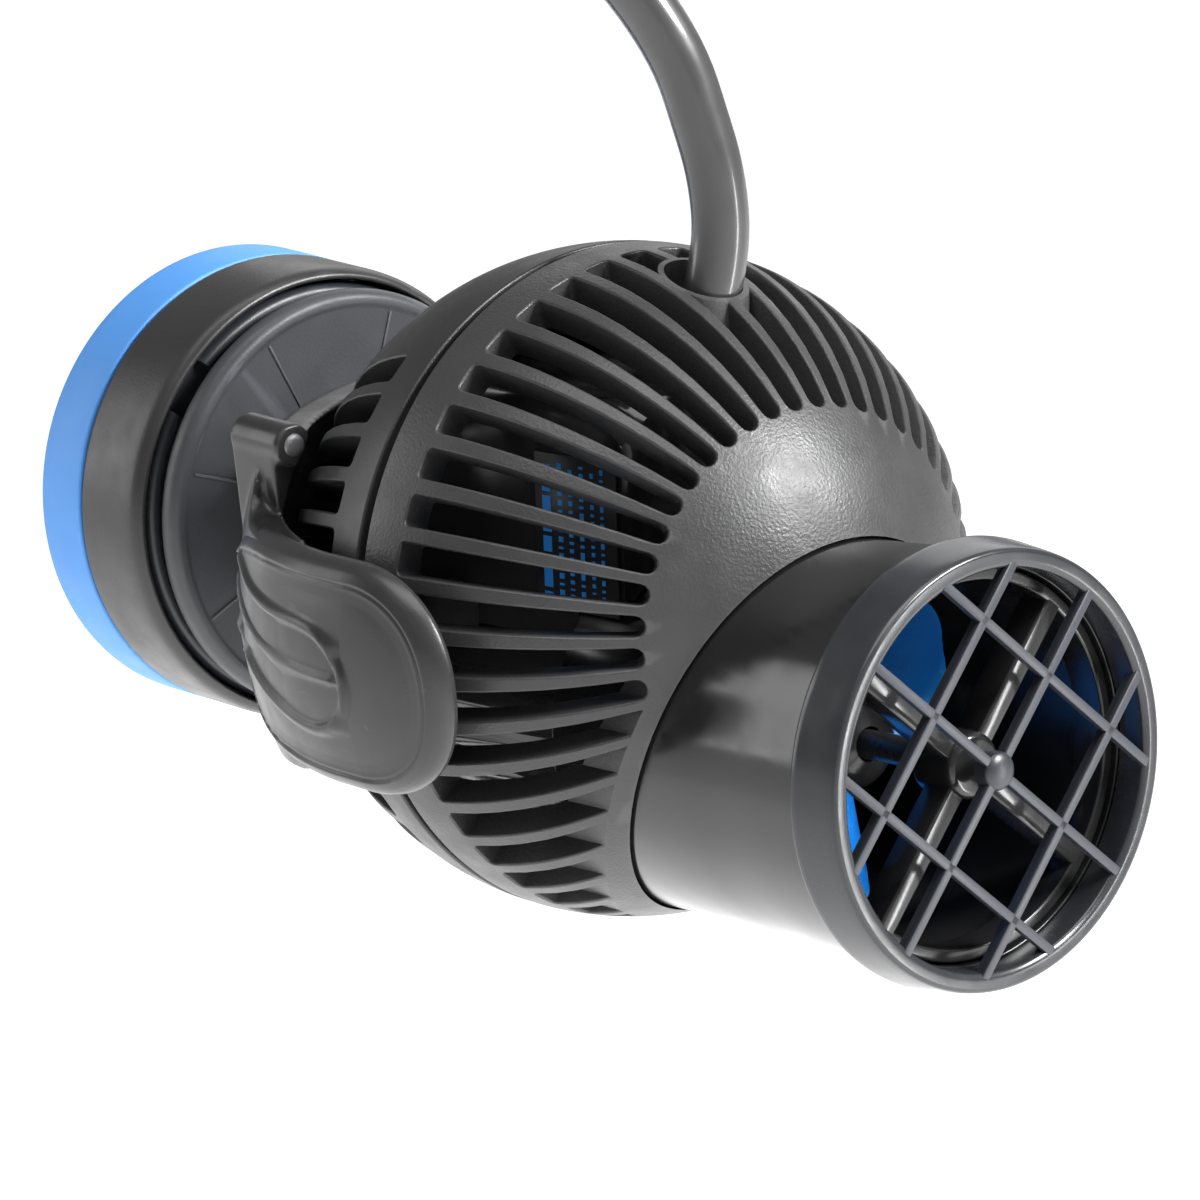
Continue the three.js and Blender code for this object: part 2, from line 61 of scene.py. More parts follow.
# camera
view = {"place": (0.5355, -0.3629, 0.1294), "look": (-0.7709, 0.5982, -0.2186), "lens": 174.3, "sensor": 36}


def setCamera():
    data = bpy.data.cameras.new("camera")
    data.lens = view["lens"]
    data.sensor_width = view["sensor"]
    data.clip_start = 0.02
    camera = bpy.data.objects.new("camera", data)
    bpy.context.collection.objects.link(camera)
    back = -Vector(view["look"]).normalized()
    right = Vector((0, 0, 1)).cross(back).normalized()
    up = back.cross(right)
    camera.matrix_world = Matrix.Translation(view["place"]) @ Matrix((right, up, back)).transposed().to_4x4()
    bpy.context.scene.camera = camera


setCamera()


# moulded, rubber and metal finishes: colour drift, worn edges, roughness spread and two sizes of grain
def newFinish(name, look):
    material = bpy.data.materials.new(name)
    material.use_nodes = True
    nodes, links = material.node_tree.nodes, material.node_tree.links
    shader = nodes["Principled BSDF"]
    where = nodes.new("ShaderNodeTexCoord").outputs["Object"]

    def noise(size, detail, roughness=0.55):
        texture = nodes.new("ShaderNodeTexNoise")
        texture.inputs["Scale"].default_value = 1 / size
        texture.inputs["Detail"].default_value = detail
        texture.inputs["Roughness"].default_value = roughness
        links.new(where, texture.inputs["Vector"])
        return texture.outputs["Fac"]

    def spread(source, low, high, lowAt=0.3, highAt=0.7):
        ranged = nodes.new("ShaderNodeMapRange")
        for socket, value in zip(("From Min", "From Max", "To Min", "To Max"), (lowAt, highAt, low, high)):
            ranged.inputs[socket].default_value = value
        links.new(source, ranged.inputs["Value"])
        return ranged.outputs["Result"]

    def blended(factor, first, second):
        mix = nodes.new("ShaderNodeMix")
        mix.data_type = "RGBA"
        colourSockets = [s for s in mix.inputs if s.type == "RGBA"]
        for socket, value in zip(colourSockets, (first, second)):
            if isinstance(value, tuple):
                socket.default_value = (*value, 1)
            else:
                links.new(value, socket)
        links.new(factor, mix.inputs[0])
        return [s for s in mix.outputs if s.type == "RGBA"][0]

    base = look["colour"]
    drift = tuple(min(1, c * look.get("drift", 1.25)) for c in base)
    worn = tuple(min(1, c * look.get("wear", 1.8) + 0.004) for c in base)
    patches = blended(spread(noise(look.get("patch", 0.012), 4), 0, 1), base, drift)
    edges = spread(nodes.new("ShaderNodeNewGeometry").outputs["Pointiness"], 0, 1, 0.52, 0.6)
    links.new(blended(edges, patches, worn), shader.inputs["Base Color"])
    rough, soft = look["roughness"], look.get("spread", 0.06)
    links.new(spread(noise(look.get("smear", 0.004), 3), rough - soft, rough + soft), shader.inputs["Roughness"])
    fine = nodes.new("ShaderNodeBump")
    fine.inputs["Strength"].default_value = look.get("grainStrength", 0.35)
    fine.inputs["Distance"].default_value = look.get("grainDepth", 0.00004)
    links.new(noise(look.get("grain", 0.0003), 2), fine.inputs["Height"])
    wave = nodes.new("ShaderNodeBump")
    wave.inputs["Strength"].default_value = look.get("waveStrength", 0.2)
    wave.inputs["Distance"].default_value = look.get("waveDepth", 0.0001)
    links.new(noise(look.get("wave", 0.006), 1), wave.inputs["Height"])
    links.new(fine.outputs["Normal"], wave.inputs["Normal"])
    links.new(wave.outputs["Normal"], shader.inputs["Normal"])
    shader.inputs["Metallic"].default_value = look.get("metal", 0.0)
    shader.inputs["Specular IOR Level"].default_value = look.get("gloss", 0.5)
    if look.get("coat"):
        shader.inputs["Coat Weight"].default_value = look["coat"]
        shader.inputs["Coat Roughness"].default_value = look.get("coatRoughness", 0.1)
    return material


finishes = {
    "padBlue": {"colour": (0.07, 0.27, 0.68), "roughness": 0.5, "grain": 0.0005, "drift": 1.08, "wear": 1.15},
    "shellBlack": {"colour": (0.017, 0.017, 0.0175), "roughness": 0.4, "grain": 0.00028, "grainStrength": 0.55},
    "capGrain": {"colour": (0.03, 0.03, 0.031), "roughness": 0.4, "grain": 0.00034, "grainStrength": 0.9,
                 "grainDepth": 0.00006},
    "puckBlack": {"colour": (0.022, 0.021, 0.021), "roughness": 0.36, "grain": 0.00028, "grainStrength": 0.5},
    "glossBlack": {"colour": (0.012, 0.012, 0.0125), "roughness": 0.16, "grainStrength": 0.06, "spread": 0.04},
    "satinBlack": {"colour": (0.018, 0.018, 0.019), "roughness": 0.33, "grain": 0.00022, "grainStrength": 0.22},
    "collarBlack": {"colour": (0.02, 0.021, 0.024), "roughness": 0.22, "grainStrength": 0.12},
    "slateGrey": {"colour": (0.017, 0.019, 0.024), "roughness": 0.38, "grain": 0.00025, "grainStrength": 0.3},
    "plateGrey": {"colour": (0.038, 0.04, 0.045), "roughness": 0.45, "grain": 0.0003, "grainStrength": 0.6},
    "softRubber": {"colour": (0.02, 0.02, 0.021), "roughness": 0.68, "grain": 0.0004, "grainStrength": 0.5},
    "magnetNickel": {"colour": (0.5, 0.49, 0.46), "roughness": 0.28, "metal": 1.0, "grainStrength": 0.1},
    "brightSteel": {"colour": (0.62, 0.62, 0.63), "roughness": 0.22, "metal": 1.0, "grainStrength": 0.15},
    "wornSteel": {"colour": (0.17, 0.17, 0.175), "roughness": 0.5, "metal": 0.8, "grainStrength": 0.6},
    # the ceramic rotor shaft is given a near-black colour: painted shade for the dark inside of the nozzle behind the
    # grille
    "ceramicShaftPaintedShade": {"colour": (0.03, 0.03, 0.032), "roughness": 0.25, "grainStrength": 0.1},
    "groundCeramic": {"colour": (0.75, 0.73, 0.66), "roughness": 0.3, "grainStrength": 0.1, "wear": 1.1},
    "bladeBlue": {"colour": (0.012, 0.22, 0.85), "roughness": 0.25, "grainStrength": 0.08, "wear": 1.4},
    "foilBlack": {"colour": (0.012, 0.012, 0.013), "roughness": 0.35, "grainStrength": 0.1},
    "printBlue": {"colour": (0.02, 0.26, 0.78), "roughness": 0.4, "grainStrength": 0.1, "wear": 1.2},
    "cableJacket": {"colour": (0.03, 0.03, 0.031), "roughness": 0.34, "coat": 0.6, "coatRoughness": 0.12,
                    "grain": 0.0006, "grainStrength": 0.12,
                    "wave": 0.004, "waveStrength": 0.35},
}
finish = {name: newFinish(name, look) for name, look in finishes.items()}
print("finishes ready")


def meshFrom(name, points, faces):
    mesh = bpy.data.meshes.new(name)
    mesh.from_pydata([tuple(p) for p in points], [], [tuple(f) for f in faces])
    mesh.validate()
    return mesh


def objectFrom(name, mesh):
    made = bpy.data.objects.new(name, mesh)
    bpy.context.collection.objects.link(made)
    return made


def settled(made):  # the modifiers become part of the mesh
    bpy.context.view_layer.update()
    shape = bpy.data.meshes.new_from_object(made.evaluated_get(bpy.context.evaluated_depsgraph_get()))
    made.modifiers.clear()
    made.data = shape
    return made


def cutWith(made, tool, how="DIFFERENCE"):
    step = made.modifiers.new("cut", "BOOLEAN")
    step.operation = how
    step.solver = "MANIFOLD"
    step.object = tool
    settled(made)
    bpy.data.objects.remove(tool)
    return made


def softened(made, width, steps=2, angle=40, keepFlats=False):
    step = made.modifiers.new("edges", "BEVEL")
    step.width = width
    step.segments = steps
    step.limit_method = "ANGLE"
    step.angle_limit = math.radians(angle)
    step.use_clamp_overlap = True
    step.harden_normals = keepFlats
    return settled(made)


def smoothed(made, size, rounds):  # one even skin with soft edges
    skin = made.modifiers.new("skin", "REMESH")
    skin.mode = "VOXEL"
    skin.voxel_size = size
    soft = made.modifiers.new("soft", "SMOOTH")
    soft.factor = 0.5
    soft.iterations = rounds
    return settled(made)


def finished(made, place, look, body, replaced=(), crease=32, roundAt=None):
    mesh = made.data
    normals = None
    mesh.polygons.foreach_set("use_smooth", [True] * len(mesh.polygons))
    mesh.set_sharp_from_angle(angle=math.radians(crease))
    if roundAt:  # flat-cut faces on the ball keep the ball's own normals
        co = np.empty(len(mesh.vertices) * 3)
        mesh.vertices.foreach_get("co", co)
        co = co.reshape(-1, 3)
        reach = np.linalg.norm(co, axis=1)
        corners = np.empty(len(mesh.loops) * 3)
        mesh.corner_normals.foreach_get("vector", corners)
        corners = corners.reshape(-1, 3)
        for radius in roundAt:
            onBall = np.abs(reach - radius) < 0.02
            for face in mesh.polygons:
                if all(onBall[v] for v in face.vertices):
                    side = 1 if Vector(co[face.vertices[0]]).dot(face.normal) > 0 else -1
                    for loop, vertex in zip(face.loop_indices, face.vertices):
                        corners[loop] = side * co[vertex] / radius
        normals = corners.tolist()
    if normals:
        mesh.normals_split_custom_set(normals)
    mesh.transform(place)
    if place.determinant() < 0:
        mesh.flip_normals()
    mesh.materials.clear()
    mesh.materials.append(finish[look])
    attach(made, body)
    if replaced:
        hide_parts(*replaced)
    return made


def rounded(outline, steps=4):  # corners given as (x, radius, fillet)
    path = []
    count = len(outline)
    for i, corner in enumerate(outline):
        here = np.array(corner[:2], float)
        fillet = corner[2] if len(corner) > 2 else 0
        if fillet == 0:
            path.append(here)
            continue
        before = np.array(outline[i - 1][:2], float) - here
        after = np.array(outline[(i + 1) % count][:2], float) - here
        reach = [min(fillet, 0.48 * np.linalg.norm(v)) for v in (before, after)]
        first = here + before / np.linalg.norm(before) * reach[0]
        last = here + after / np.linalg.norm(after) * reach[1]
        for t in np.linspace(0, 1, steps + 1):
            path.append((1 - t) ** 2 * first + 2 * t * (1 - t) * here + t ** 2 * last)
    return path


def turned(name, outline, steps=96, closed=False):  # a piece turned about the X axis
    path = rounded(outline)
    points, rings = [], []
    for x, radius in path:
        if radius < 1e-6:
            rings.append([len(points)] * steps)
            points.append((x, 0, 0))
            continue
        rings.append(list(range(len(points), len(points) + steps)))
        for i in range(steps):
            a = 2 * math.pi * i / steps
            points.append((x, radius * math.cos(a), radius * math.sin(a)))
    faces = []
    pairs = list(zip(rings, rings[1:] + rings[:1])) if closed else list(zip(rings, rings[1:]))
    for one, two in pairs:
        for i in range(steps):
            j = (i + 1) % steps
            face = []
            for v in (one[i], one[j], two[j], two[i]):
                if v not in face:
                    face.append(v)
            if len(face) > 2:
                faces.append(face)
    made = objectFrom(name, meshFrom(name, points, faces))
    return outward(made)


def outward(made):
    work = bmesh.new()
    work.from_mesh(made.data)
    bmesh.ops.recalc_face_normals(work, faces=work.faces)
    work.to_mesh(made.data)
    work.free()
    return made


def bar(name, low, high):
    corners = [(x, y, z) for x in (low[0], high[0]) for y in (low[1], high[1]) for z in (low[2], high[2])]
    faces = [(0, 1, 3, 2), (4, 6, 7, 5), (0, 4, 5, 1), (2, 3, 7, 6), (0, 2, 6, 4), (1, 5, 7, 3)]
    return outward(objectFrom(name, meshFrom(name, corners, faces)))


def prism(name, outline, low, high):  # an (x, z) outline drawn through along Y
    count = len(outline)
    points = [(x, y, z) for y in (low, high) for x, z in outline]
    faces = [list(range(count)), list(range(2 * count - 1, count - 1, -1))]
    faces += [(i, (i + 1) % count, count + (i + 1) % count, count + i) for i in range(count)]
    return outward(objectFrom(name, meshFrom(name, points, faces)))


def moved(made, matrix):
    made.data.transform(matrix)
    return made


def joined(name, parts):
    points, faces = [], []
    for part in parts:
        start = len(points)
        points += [tuple(v.co) for v in part.data.vertices]
        faces += [[start + v for v in face.vertices] for face in part.data.polygons]
        bpy.data.objects.remove(part)
    return objectFrom(name, meshFrom(name, points, faces))


# cable: one curve from the ball, up into the hanging coil and down to the plug
cord = {
    "radius": 3.0, "length": 5.0, "layers": (51, 45, 39, 33), "turnsWide": 5, "lastTurns": 3.58,
    "leadTurns": 0.17, "leadRise": 4.0, "coilMiddle": (-29.5, 129.6),
    "along": (0.613, 0.79, 0), "beside": (6.79, -5.27, 0), "tailRadius": 24, "tailMiddle": (4.5, 7.8),
    "route": ((7.5, 22.8), (7.5, 26), (7.8, 30.1), (8.6, 33.9), (8.95, 38.6), (8.3, 43.9), (6.8, 49.2),
              (4.9, 54.6), (1.9, 59.8), (-2.4, 65.2), (-8, 70.4), (-14.8, 74.8), (-22.2, 77.6), (-29.5, 78.6)),
}


def inCordPlane(along, up, across=0.0):
    direction = Vector(cord["along"])
    sideways = Vector((direction.y, -direction.x, 0)).normalized()
    point = direction * along + Vector(cord["beside"]) + Vector((0, 0, up)) + sideways * across
    return point * sizes["mm"] + Vector((sizes["ballX"], 0, 0))


def smoothRoute(points, perSpan=4):
    dense = []
    padded = [points[0], *points, points[-1]]
    for a, b, c, d in zip(padded, padded[1:], padded[2:], padded[3:]):
        for step in range(perSpan):
            t = step / perSpan
            dense.append(0.5 * ((2 * b) + (c - a) * t + (2 * a - 5 * b + 4 * c - d) * t * t
                                + (3 * b - a - 3 * c + d) * t ** 3))
    return dense + [points[-1]]


def easing(value, low, high):
    t = np.clip((value - low) / (high - low), 0, 1)
    return t * t * (3 - 2 * t)


def coilPoints():
    # starts at the ring's bottom; each turn steps a diameter across, each layer a diameter in
    middle = cord["coilMiddle"]
    points = []
    wide = cord["turnsWide"]
    pitch = 2 * cord["radius"]
    lastAcross = (wide - 1) / 2 * pitch
    for layer, radius in enumerate(cord["layers"]):
        turns = wide - 1 if layer < len(cord["layers"]) - 1 else cord["lastTurns"]
        way = 1 if layer % 2 else -1
        steps = int(turns * 40)
        nextRadius = cord["layers"][layer + 1] if layer + 1 < len(cord["layers"]) else radius
        for i in range(steps + 1):
            done = i / 40
            across = way * (-lastAcross + pitch * done)
            angle = math.radians(-90 - 360 * done)
            r = radius
            if layer == 0:  # the cable climbs over the first turns to reach the coil's side
                lead = min(done / cord["leadTurns"], 1)
                across *= float(easing(lead, 0, 1))
                r += cord["leadRise"] * math.sin(math.pi * lead)
            points.append(inCordPlane(middle[0] + r * math.cos(angle), middle[1] + r * math.sin(angle), across))
        if layer + 1 < len(cord["layers"]):  # half a turn to settle onto the next layer in
            for i in range(1, 40):
                t = i / 40
                settle = t * t * (3 - 2 * t)
                r = radius + (nextRadius - radius) * settle
                angle = math.radians(-90 - 360 * t)
                points.append(inCordPlane(middle[0] + r * math.cos(angle), middle[1] + r * math.sin(angle),
                                          way * lastAcross))
    return points, across


def makeCable():
    way = [inCordPlane(along, up) for along, up in cord["route"]]
    start = smoothRoute(way)
    coil, coilSide = coilPoints()
    tail = []
    for angle in range(60, -91, -6):
        tail.append(inCordPlane(
            cord["coilMiddle"][0] + cord["tailMiddle"][0] + cord["tailRadius"] * math.cos(math.radians(angle)),
            cord["coilMiddle"][1] + cord["tailMiddle"][1] + cord["tailRadius"] * math.sin(math.radians(angle)),
            coilSide * float(1 - easing(-angle, -35, 75))))
    points = start[:-1] + coil + tail
    length = sum((b - a).length for a, b in zip(points, points[1:]))
    print("cable length", round(length, 3), "points", len(points))
    data = bpy.data.curves.new("cableRun", "CURVE")
    data.dimensions = "3D"
    data.bevel_depth = cord["radius"] * sizes["mm"]
    data.bevel_resolution = 5
    data.use_fill_caps = True
    spline = data.splines.new("POLY")
    spline.points.add(len(points) - 1)
    for slot, point in zip(spline.points, points):
        slot.co = (*point, 1)
    spline.use_smooth = True
    data.materials.append(finish["cableJacket"])
    made = bpy.data.objects.new("cableRun", data)
    bpy.context.collection.objects.link(made)
    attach(made, "pump_ball")
    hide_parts("cable", "cable_coil", "cable_end")
    return made, points


cableRun, cablePoints = makeCable()
print("cable laid")

# ball housing
slots = {"count": 44, "share": 0.66, "seam": -1.1, "seamGap": 1.1, "rim": 5.6, "tip": 38.3, "tipRise": 2.0,
         "corner": 0.55, "flare": 0.26, "clearTop": 38, "nozzleClear": 22.2, "cableX": 12.7,
         "cableClear": 4.6, "cableHole": 4.0}


def slotOutline(half, startAt, endAt):
    # (distance along the ball from the axis, sideways) round one slot, widest at the seam end
    ball = sizes["ballRadius"]
    width = lambda s: half * ball * math.sin(s / ball)
    corner = slots["corner"]
    path = []
    w0 = width(startAt)
    for i in range(4):
        a = math.radians(90 * i / 3)
        path.append((startAt - corner + corner * math.cos(a), w0 - corner + corner * math.sin(a)))
    rows = np.linspace(startAt - corner, endAt + width(endAt), 9)[1:-1]
    path += [(s, width(s)) for s in rows]
    w1 = width(endAt + 1)
    for i in range(7):
        a = math.radians(90 + 180 * i / 6)
        path.append((endAt + w1 + w1 * math.cos(a), w1 * math.sin(a)))
    path += [(s, -width(s)) for s in rows[::-1]]
    for i in range(4):
        a = math.radians(-90 + 90 * i / 3)
        path.append((startAt - corner + corner * math.cos(a), -w0 + corner + corner * math.sin(a)))
    return path


def slotTools(name, sign, isOpen):
    ball = sizes["ballRadius"]
    flare = slots["flare"]
    layers = [(29.8, 0), (ball - flare, 0), (ball - 0.6 * flare, 0.08 * flare), (ball - 0.3 * flare, 0.29 * flare),
              (ball - 0.08 * flare, 0.6 * flare), (ball + 0.4 * flare, 1.5 * flare)]
    points, faces = [], []
    pitch = 2 * math.pi / slots["count"]
    edge = slots["seam"] + sign * slots["rim"]
    for i in range(slots["count"]):
        azimuth = (i + 0.5) * pitch
        if not isOpen(math.degrees(azimuth)):
            continue
        tip = slots["tip"] - slots["tipRise"] * math.sin(azimuth)
        startAt = ball * math.acos(sign * edge / ball)
        path = slotOutline(pitch * slots["share"] / 2, startAt, ball * math.radians(tip))
        count = len(path)
        start = len(points)
        for radius, grow in layers:
            for j, (s, w) in enumerate(path):
                a, b = np.array(path[j - 1]), np.array(path[(j + 1) % count])
                along = (b - a) / np.linalg.norm(b - a)
                s2, w2 = s + along[1] * grow, w - along[0] * grow
                theta = s2 / ball
                phi = azimuth + w2 / (ball * math.sin(theta))
                points.append((sign * radius * math.cos(theta), radius * math.sin(theta) * math.cos(phi),
                               radius * math.sin(theta) * math.sin(phi)))
        for layer in range(len(layers) - 1):
            for j in range(count):
                a, b = start + layer * count + j, start + layer * count + (j + 1) % count
                faces.append((a, b, b + count, a + count))
        for ring in (start, start + (len(layers) - 1) * count):  # end faces follow the ball's curve
            for j in range(count // 2):
                strip = [ring + j, ring + j + 1, ring + count - 2 - j, ring + count - 1 - j]
                faces.append(tuple(dict.fromkeys(strip)))
    return outward(objectFrom(name, meshFrom(name, points, faces)))


def nozzleRod(name, low, high, radius):
    return moved(turned(name, [(low, 0), (low, radius), (high, radius), (high, 0)], 144),
                 Matrix.Translation((0, 0, -sizes["nozzleDrop"])))


def cableRod(name, radius):
    rod = turned(name, [(20, 0), (20, radius), (50, radius), (50, 0)], 48)
    return moved(rod, Matrix.Translation((slots["cableX"], 0, 0)) @ turn(-90, "Y"))


def shellOutline(first, last, seamLast):
    ball, inside = sizes["ballRadius"], sizes["ballRadius"] - sizes["ballWall"]
    outer = [(ball * math.cos(a), ball * math.sin(a)) for a in np.linspace(math.radians(first), math.radians(last), 48)]
    inner = [(inside * math.cos(a), inside * math.sin(a))
             for a in np.linspace(math.radians(last), math.radians(first), 24)]
    corner = 0.3  # the seam edge is broken a little
    if seamLast:
        outer[-1] = (*outer[-1], corner)
    else:
        outer[0] = (*outer[0], corner)
    return [(x, max(r, 0), *f) for x, r, *f in outer + inner]


def ballShell(name, sign, isOpen, extra):
    ball = sizes["ballRadius"]
    seam = math.degrees(math.acos((slots["seam"] + sign * slots["seamGap"] / 2) / ball))
    outline = shellOutline(0, seam, True) if sign > 0 else shellOutline(seam, 180, False)
    shell = turned(name, outline, 176, closed=sign < 0)
    tools = slotTools(name + "Slots", sign, isOpen)
    if sign > 0:
        cutWith(tools, nozzleRod("clear", 0, 60, slots["nozzleClear"]))
    cutWith(tools, cableRod("clear", slots["cableClear"]))
    cutWith(shell, tools)
    for tool in extra():
        cutWith(shell, tool)
    return shell


def clearOfTop(azimuth):
    return abs((azimuth - 90 + 540) % 360 - 180) > slots["clearTop"]


frontShell = ballShell("frontShell", 1, lambda azimuth: True,
                       lambda: [nozzleRod("hole", 0, 60, 20.6), cableRod("hole", slots["cableHole"])])
finished(frontShell, pumpPlace, "capGrain", "pump_ball", ["front_housing"], roundAt=(35.0,))
rearShell = ballShell("rearShell", -1, clearOfTop, lambda: [cableRod("hole", slots["cableHole"])])
finished(rearShell, pumpPlace, "shellBlack", "pump_ball", ["rear_housing"], roundAt=(35.0,))
print("ball housing cut", len(frontShell.data.polygons), len(rearShell.data.polygons))

# outlet
outlet = {"pitch": 10.8, "bar": 1.0, "deep": 1.5, "turn": -38.7, "face": 54.7, "ring": 21.8, "inside": 19.9}


def makeOutlet():
    tube = turned("nozzleTube", [(11, 18.6, 0.3), (11, 20.3, 0.3), (35, 20.3, 3), (48.9, 21.05), (48.9, 21.3),
                                 (50.9, 21.3), (50.9, 19.8, 0.2), (46.2, 19.8), (46.2, 19.1), (35, 18.6, 3)], 160, True)
    finished(tube, nozzlePlace, "glossBlack", "pump_ball", ["nozzle_tube"])
    face, inside = outlet["face"], outlet["inside"]
    collar = turned("outletCollar", [(48.9, 21.6), (48.9, 22.4, 0.3), (49.6, 22.45, 0.3), (face - 1.0, 22.0, 0.6),
                                     (face, 21.8, 0.45), (face, 20.5, 0.25), (face - 0.3, inside, 0.3),
                                     (51.2, inside), (51.2, 21.6)], 160, True)
    bars = []
    for quarter in (0, 90):
        for row in (-1, 0, 1):
            middle = row * outlet["pitch"]
            reach = math.sqrt((inside + 0.6) ** 2 - middle ** 2)
            half = outlet["bar"] / 2
            front = bar("bar", (face - 0.75, -reach, middle - half), (face - 0.03, reach, middle + half))
            softened(front, 0.14)
            web = bar("web", (face - outlet["deep"], -reach, middle - half + 0.22),
                      (face - 0.7, reach, middle + half - 0.22))
            bars += [moved(part, turn(outlet["turn"] + quarter, "X")) for part in (front, web)]
    boss = turned("boss", [(face - 1.8, 0), (face - 1.8, 1.9), (face - 0.1, 1.95, 0.3), (face + 0.35, 1.3, 0.5),
                           (face + 0.6, 0)], 40)
    finished(collar, nozzlePlace, "collarBlack", "grille", ())
    finished(joined("outletGrille", [*bars, boss]), nozzlePlace, "slateGrey", "grille", ["outlet_grille"])
    rim = turned("spiderRim", [(46.5, 18.2, 0.3), (46.5, 19.5, 0.3), (50.6, 19.5, 0.3), (50.6, 18.2, 0.3)], 128, True)
    arms = []
    for quarter in (0, 90):
        for side in (-1, 1):
            ends = (2.8, 18.8) if side > 0 else (-18.8, -2.8)
            arm = softened(bar("arm", (46.9, ends[0], -1.1), (50.6, ends[1], 1.1)), 0.3, 3)
            arms.append(moved(arm, turn(outlet["turn"] + quarter, "X")))
    hub = turned("hub", [(45.7, 2.7), (45.7, 3.4, 0.3), (50.7, 3.4, 0.5), (51.2, 2.9, 0.4), (51.2, 0), (49.8, 0),
                         (49.8, 2.7)], 48)
    finished(joined("bearingSpider", [rim, *arms, hub]), nozzlePlace, "glossBlack", "pump_ball", ["bearing_spider"])


makeOutlet()
print("outlet made")

# propeller: three twisted leaves on a domed hub
blades = {"count": 3, "radius": 17.5, "pitchRoot": 34, "pitchTip": 58, "thick": 1.3}


def makePropeller():
    parts = []
    for n in range(blades["count"]):
        points, faces = [], []
        rows, across = 16, 14
        for side in (1, -1):
            for i in range(rows + 1):
                t = i / rows
                radius = 4.5 + (blades["radius"] - 4.5) * t
                chord = 4.6 + 3.2 * math.sin(math.pi * min(1, 0.25 + 0.62 * t))
                pitch = math.radians(90 - blades["pitchRoot"] + (blades["pitchRoot"] - blades["pitchTip"]) * t * 0.6)
                for j in range(across + 1):
                    u = -1 + 2 * j / across
                    tip = 1 - 0.25 * u * u * t ** 4
                    lift = side * blades["thick"] / 2 * math.sqrt(max(0, 1 - u ** 4)) + 0.9 * (1 - u * u)
                    x = chord * u * math.sin(pitch) + lift * math.cos(pitch)
                    y = chord * u * math.cos(pitch) - lift * math.sin(pitch)
                    a = y / radius
                    points.append((30 + x * 0.86, radius * tip * math.sin(a), radius * tip * math.cos(a)))
        grid = (rows + 1) * (across + 1)
        for side in (0, 1):
            for i in range(rows):
                for j in range(across):
                    k = side * grid + i * (across + 1) + j
                    faces.append((k, k + 1, k + across + 2, k + across + 1))
        for i in range(rows):
            for j in (0, across):
                k = i * (across + 1) + j
                faces.append((k, k + across + 1, grid + k + across + 1, grid + k))
        for i in (0, rows):
            for j in range(across):
                k = i * (across + 1) + j
                faces.append((k, k + 1, grid + k + 1, grid + k))
        parts.append(moved(outward(objectFrom("leaf", meshFrom("leaf", points, faces))), turn(120 * n, "X")))
    hub = turned("propellerHub", [(24, 1.8), (24, 5.6, 0.5), (33, 5.6, 1.5), (35.4, 4.2, 1), (36, 1.8)], 64, True)
    finished(hub, rotorPlace, "glossBlack", "rotor", (), 40)
    finished(joined("propellerBlades", parts), rotorPlace, "bladeBlue", "rotor", ["propeller"], 40)


makePropeller()
print("propeller made")

# clamp: yoke behind the ball, two paddles with an arched finger grip, two bosses
clamp = {"inside": 36.8, "outside": 40.4, "base": -43.5, "notch": -19.8, "half": 18, "lowHalf": 15.5,
         "paddle": 12.5, "discRadius": 15, "webLow": 6, "webFront": -17.6, "webSides": (26.9, 30.6),
         "bossY": 28.5, "bossZ": 19, "bossRadius": 2.25, "bossBack": -25, "bossFront": -16.5, "farShorter": 13.2,
         "fine": 0.3, "smoothing": 7}
grip = {"middle": (4.5, 0.5), "front": 12.3, "back": 29.5, "high": 12.1,
        "insets": (0, 0.15, 0.4, 0.8, 1.2, 1.6, 1.8, 1.95, 2.2, 2.7, 3.6, 5.0),
        "heights": (39.3, 39.8, 40.15, 40.45, 40.62, 40.75, 40.72, 40.4, 40.6, 40.48, 40.42, 40.45),
        "underEdge": 38.9, "ridge": 0.5, "ridgeWide": 0.6, "hollow": 0.55,
        "arch": ((-31, 10.9), (-24, 9.6), (-16, 7.0), (-9, 6.0), (-2, 5.8), (1.6, 4.9), (4.2, 2.3), (4.7, -0.7),
                 (3.4, -3.3), (0.6, -4.9), (-3, -5.1), (-8, -4.2), (-14, -2.5), (-24, 1.5), (-31, 4.2)),
        "middleLine": ((3.4, 0.7), (-4, 0.9), (-12, 1.6), (-24, 5.0), (-31, 7.4))}


def smoothLine(points, perSpan=6):
    return [tuple(p)[:2] for p in smoothRoute([Vector((*p, 0)) for p in points], perSpan)]


def awayFrom(points, line, closed=False):  # distance of each point from a drawn line
    line = np.array(line, float)
    starts, ends = (line, np.roll(line, -1, 0)) if closed else (line[:-1], line[1:])
    span = ends - starts
    rel = points[:, None, :] - starts[None]
    t = np.clip((rel * span).sum(2) / np.maximum((span ** 2).sum(1), 1e-9), 0, 1)
    return np.linalg.norm(rel - t[..., None] * span[None], axis=2).min(1)


def paddleEdge(shorter, steps=220):
    cx, cz = grip["middle"]
    path = []
    for i in range(steps):
        a = 2 * math.pi * i / steps
        c, s = math.cos(a), math.sin(a)
        wide, power = (grip["front"], 2.15) if c > 0 else (grip["back"] - shorter, 4.0)
        path.append((cx - shorter + wide * math.copysign(abs(c) ** (2 / power), c),
                     cz + grip["high"] * math.copysign(abs(s) ** (2 / power), s)))
    return path


